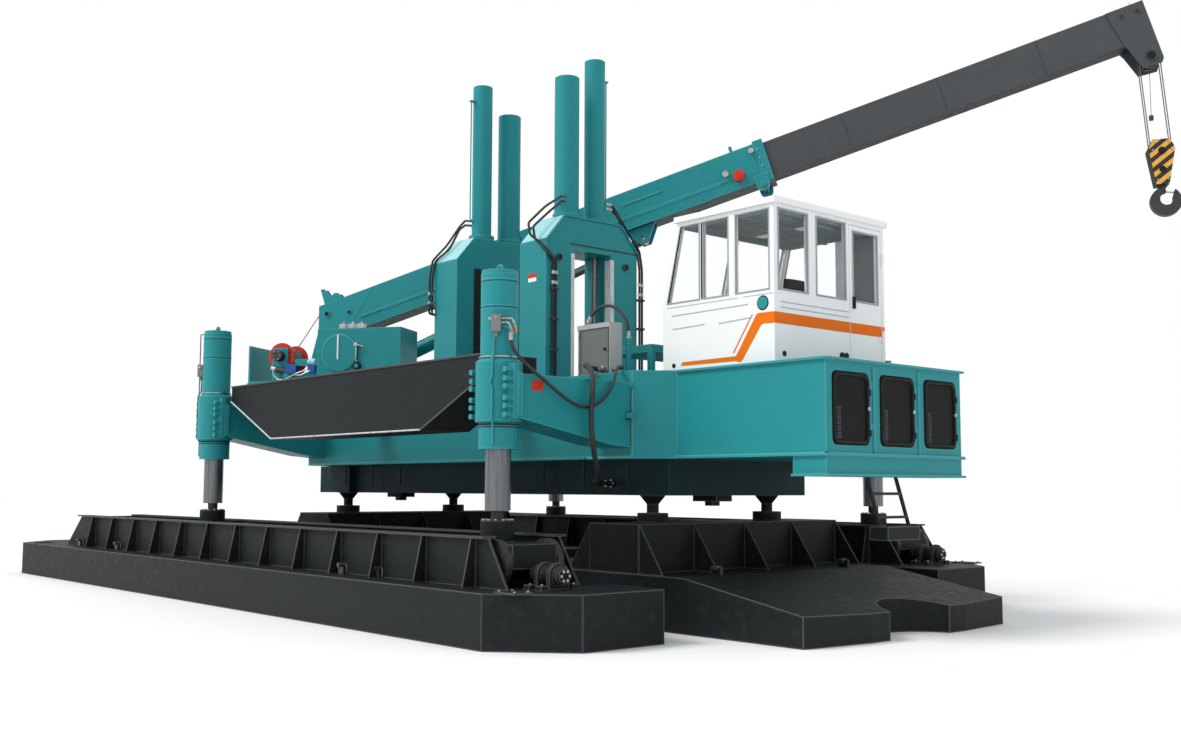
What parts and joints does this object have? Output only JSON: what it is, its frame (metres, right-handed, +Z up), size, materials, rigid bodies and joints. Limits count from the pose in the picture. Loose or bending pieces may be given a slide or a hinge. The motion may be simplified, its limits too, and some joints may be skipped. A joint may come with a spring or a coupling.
{
  "type": "hydraulic static pile driver",
  "caption": "Hydraulic static pile driver on walking pontoons, with corner jacks, press frames, pile clamp, cab and telescopic side crane.",
  "frame": {"origin": "centre of the whole machine's footprint box, on the ground", "axes": "+X towards the cab end, along the long pontoons; +Y away from the side in the picture; +Z up"},
  "size_m": [16.8039, 11.0444, 8.7342],
  "materials": {
    "teal_paint": "semi-gloss sprayed enamel",
    "charcoal_paint": "satin sprayed enamel",
    "white_paint": "semi-gloss sprayed enamel",
    "black_paint": "semi-gloss sprayed enamel",
    "grey_paint": "satin sprayed enamel",
    "cabinet_paint": "powder coat",
    "red_paint": "enamel",
    "blue_paint": "enamel",
    "yellow_paint": "enamel with black stripes",
    "rod_steel": "ground and plated",
    "wheel_iron": "machined tread",
    "rope_steel": "greased wire rope",
    "pane": "tinted safety glass",
    "seat_cloth": "woven seat cover",
    "hose_rubber": "wrapped hydraulic hose",
    "desk_plastic": "moulded"
  },
  "bodies": {
    "machine": {"jack_barrels": "teal_paint", "main_body": "teal_paint", "cross_arms": "teal_paint", "underframe": "charcoal_paint", "ball_supports": "charcoal_paint", "press_frames": "teal_paint", "press_cylinders": "teal_paint", "weight_trays": "charcoal_paint", "front_platform": "teal_paint", "power_pack": "grey_paint", "cab_shell": "white_paint", "cab_glass": "pane", "cab_roof": "white_paint", "cab_seat": "seat_cloth", "cab_console": "desk_plastic", "boarding_ladder": "charcoal_paint", "electric_cabinet": "cabinet_paint", "jack_hose": "hose_rubber", "loop_hose": "hose_rubber", "drop_hose": "hose_rubber", "crane_pedestal": "teal_paint"},
    "near_lift": {"near_jack_rods": "rod_steel", "near_trolleys": "charcoal_paint"},
    "near_pontoon": {"near_hull": "charcoal_paint", "near_rail_box": "charcoal_paint", "near_travel_barrel": "charcoal_paint"},
    "near_wheels_1": {"near_axle_1": "wheel_iron"},
    "near_wheels_2": {"near_axle_2": "wheel_iron"},
    "near_wheels_3": {"near_axle_3": "wheel_iron"},
    "near_wheels_4": {"near_axle_4": "wheel_iron"},
    "far_lift": {"far_jack_rods": "rod_steel", "far_trolleys": "charcoal_paint"},
    "far_pontoon": {"far_hull": "charcoal_paint", "far_rail_box": "charcoal_paint", "far_travel_barrel": "charcoal_paint"},
    "far_wheels_1": {"far_axle_1": "wheel_iron"},
    "far_wheels_2": {"far_axle_2": "wheel_iron"},
    "far_wheels_3": {"far_axle_3": "wheel_iron"},
    "far_wheels_4": {"far_axle_4": "wheel_iron"},
    "front_short": {"front_short_pontoon": "charcoal_paint"},
    "rear_short": {"rear_short_pontoon": "charcoal_paint"},
    "clamp": {"clamp_box": "teal_paint", "clamp_rods": "rod_steel"},
    "door_near": {"platform_door_near": "black_paint"},
    "door_middle": {"platform_door_middle": "black_paint"},
    "door_far": {"platform_door_far": "black_paint"},
    "door_cab": {"cab_door": "white_paint"},
    "crane": {"crane_turret": "teal_paint", "crane_tank": "teal_paint", "winch_motor": "blue_paint"},
    "drum": {"winch_drum": "red_paint"},
    "boom": {"boom_base": "teal_paint"},
    "extension": {"boom_extension": "grey_paint", "boom_head": "charcoal_paint"},
    "sheaves": {"head_sheaves": "wheel_iron"},
    "hook": {"hoist_falls": "rope_steel", "hook_block": "yellow_paint", "load_hook": "wheel_iron"},
    "luff_tube": {"luff_barrel": "teal_paint"},
    "luff_stem": {"luff_rod": "rod_steel"}
  },
  "joints": [
    {"name": "near_jacks", "type": "slide", "parent": "machine", "child": "near_lift", "axis": [0, 0, 1], "range_m": [-0.5, 0.5]},
    {"name": "near_travel", "type": "slide", "parent": "near_lift", "child": "near_pontoon", "axis": [1, 0, 0], "range_m": [0, 3.2]},
    {"name": "near_roll_1", "type": "hinge", "parent": "near_lift", "child": "near_wheels_1", "pos_m": [-2.10196, -4.65724, 0.795], "axis": [0, 1, 0], "continuous": true},
    {"name": "near_roll_2", "type": "hinge", "parent": "near_lift", "child": "near_wheels_2", "pos_m": [-1.26196, -4.65724, 0.795], "axis": [0, 1, 0], "continuous": true},
    {"name": "near_roll_3", "type": "hinge", "parent": "near_lift", "child": "near_wheels_3", "pos_m": [4.95804, -4.65724, 0.795], "axis": [0, 1, 0], "continuous": true},
    {"name": "near_roll_4", "type": "hinge", "parent": "near_lift", "child": "near_wheels_4", "pos_m": [5.79804, -4.65724, 0.795], "axis": [0, 1, 0], "continuous": true},
    {"name": "far_jacks", "type": "slide", "parent": "machine", "child": "far_lift", "axis": [0, 0, 1], "range_m": [-0.5, 0.5]},
    {"name": "far_travel", "type": "slide", "parent": "far_lift", "child": "far_pontoon", "axis": [1, 0, 0], "range_m": [0, 3.2]},
    {"name": "far_roll_1", "type": "hinge", "parent": "far_lift", "child": "far_wheels_1", "pos_m": [-2.10196, 2.00276, 0.795], "axis": [0, 1, 0], "continuous": true},
    {"name": "far_roll_2", "type": "hinge", "parent": "far_lift", "child": "far_wheels_2", "pos_m": [-1.26196, 2.00276, 0.795], "axis": [0, 1, 0], "continuous": true},
    {"name": "far_roll_3", "type": "hinge", "parent": "far_lift", "child": "far_wheels_3", "pos_m": [4.95804, 2.00276, 0.795], "axis": [0, 1, 0], "continuous": true},
    {"name": "far_roll_4", "type": "hinge", "parent": "far_lift", "child": "far_wheels_4", "pos_m": [5.79804, 2.00276, 0.795], "axis": [0, 1, 0], "continuous": true},
    {"name": "front_short_travel", "type": "slide", "parent": "machine", "child": "front_short", "axis": [0, 1, 0], "range_m": [-0.48, 0.22]},
    {"name": "rear_short_travel", "type": "slide", "parent": "machine", "child": "rear_short", "axis": [0, 1, 0], "range_m": [-0.48, 0.22]},
    {"name": "press_stroke", "type": "slide", "parent": "machine", "child": "clamp", "axis": [0, 0, 1], "range_m": [0, 1.6]},
    {"name": "door_near_hinge", "type": "hinge", "parent": "machine", "child": "door_near", "pos_m": [8.13204, -1.83024, 2.4], "axis": [0, 0, 1], "range_deg": [0, 100]},
    {"name": "door_middle_hinge", "type": "hinge", "parent": "machine", "child": "door_middle", "pos_m": [8.13204, -1.01224, 2.4], "axis": [0, 0, 1], "range_deg": [0, 100]},
    {"name": "door_far_hinge", "type": "hinge", "parent": "machine", "child": "door_far", "pos_m": [8.13204, -0.19424, 2.4], "axis": [0, 0, 1], "range_deg": [0, 100]},
    {"name": "door_cab_hinge", "type": "hinge", "parent": "machine", "child": "door_cab", "pos_m": [7.27704, -0.38024, 3.83], "axis": [0, 0, 1], "range_deg": [0, 95]},
    {"name": "slew", "type": "hinge", "parent": "machine", "child": "crane", "pos_m": [-1.68196, -1.32724, 3.2], "axis": [0, 0, 1], "range_deg": [0, 112]},
    {"name": "winch_turn", "type": "hinge", "parent": "crane", "child": "drum", "pos_m": [-3.48097, -2.54068, 3.79], "axis": [-0.5592, 0.829, 0], "continuous": true},
    {"name": "luff", "type": "hinge", "parent": "crane", "child": "boom", "pos_m": [-2.80199, -2.08271, 4.503], "axis": [0.5592, -0.829, 0], "range_deg": [-12, 55]},
    {"name": "telescope", "type": "slide", "parent": "boom", "child": "extension", "axis": [0.7911, 0.5336, 0.299], "range_m": [-5.3, 0]},
    {"name": "sheave_turn", "type": "hinge", "parent": "extension", "child": "sheaves", "pos_m": [8.06031, 5.24401, 7.88802], "axis": [-0.5592, 0.829, 0], "continuous": true},
    {"name": "hook_hang", "type": "hinge", "parent": "extension", "child": "hook", "pos_m": [8.06031, 5.24401, 7.88802], "axis": [0.5592, -0.829, 0], "range_deg": [-55, 12]},
    {"name": "luff_tube_tilt", "type": "hinge", "parent": "crane", "child": "luff_tube", "pos_m": [-2.26228, -1.71867, 3.48], "axis": [0.5592, -0.829, 0], "range_deg": [-12, 53]},
    {"name": "luff_stem_slide", "type": "slide", "parent": "luff_tube", "child": "luff_stem", "axis": [0.7617, 0.5138, 0.3948], "range_m": [-0.27, 1.2]}
  ],
  "couplings": [
    {"joint": "hook_hang", "follows": "luff", "ratio": -1},
    {"joint": "luff_tube_tilt", "follows": "luff", "ratio": 0.958},
    {"joint": "luff_stem_slide", "follows": "luff", "m_per_rad": 1.243}
  ]
}
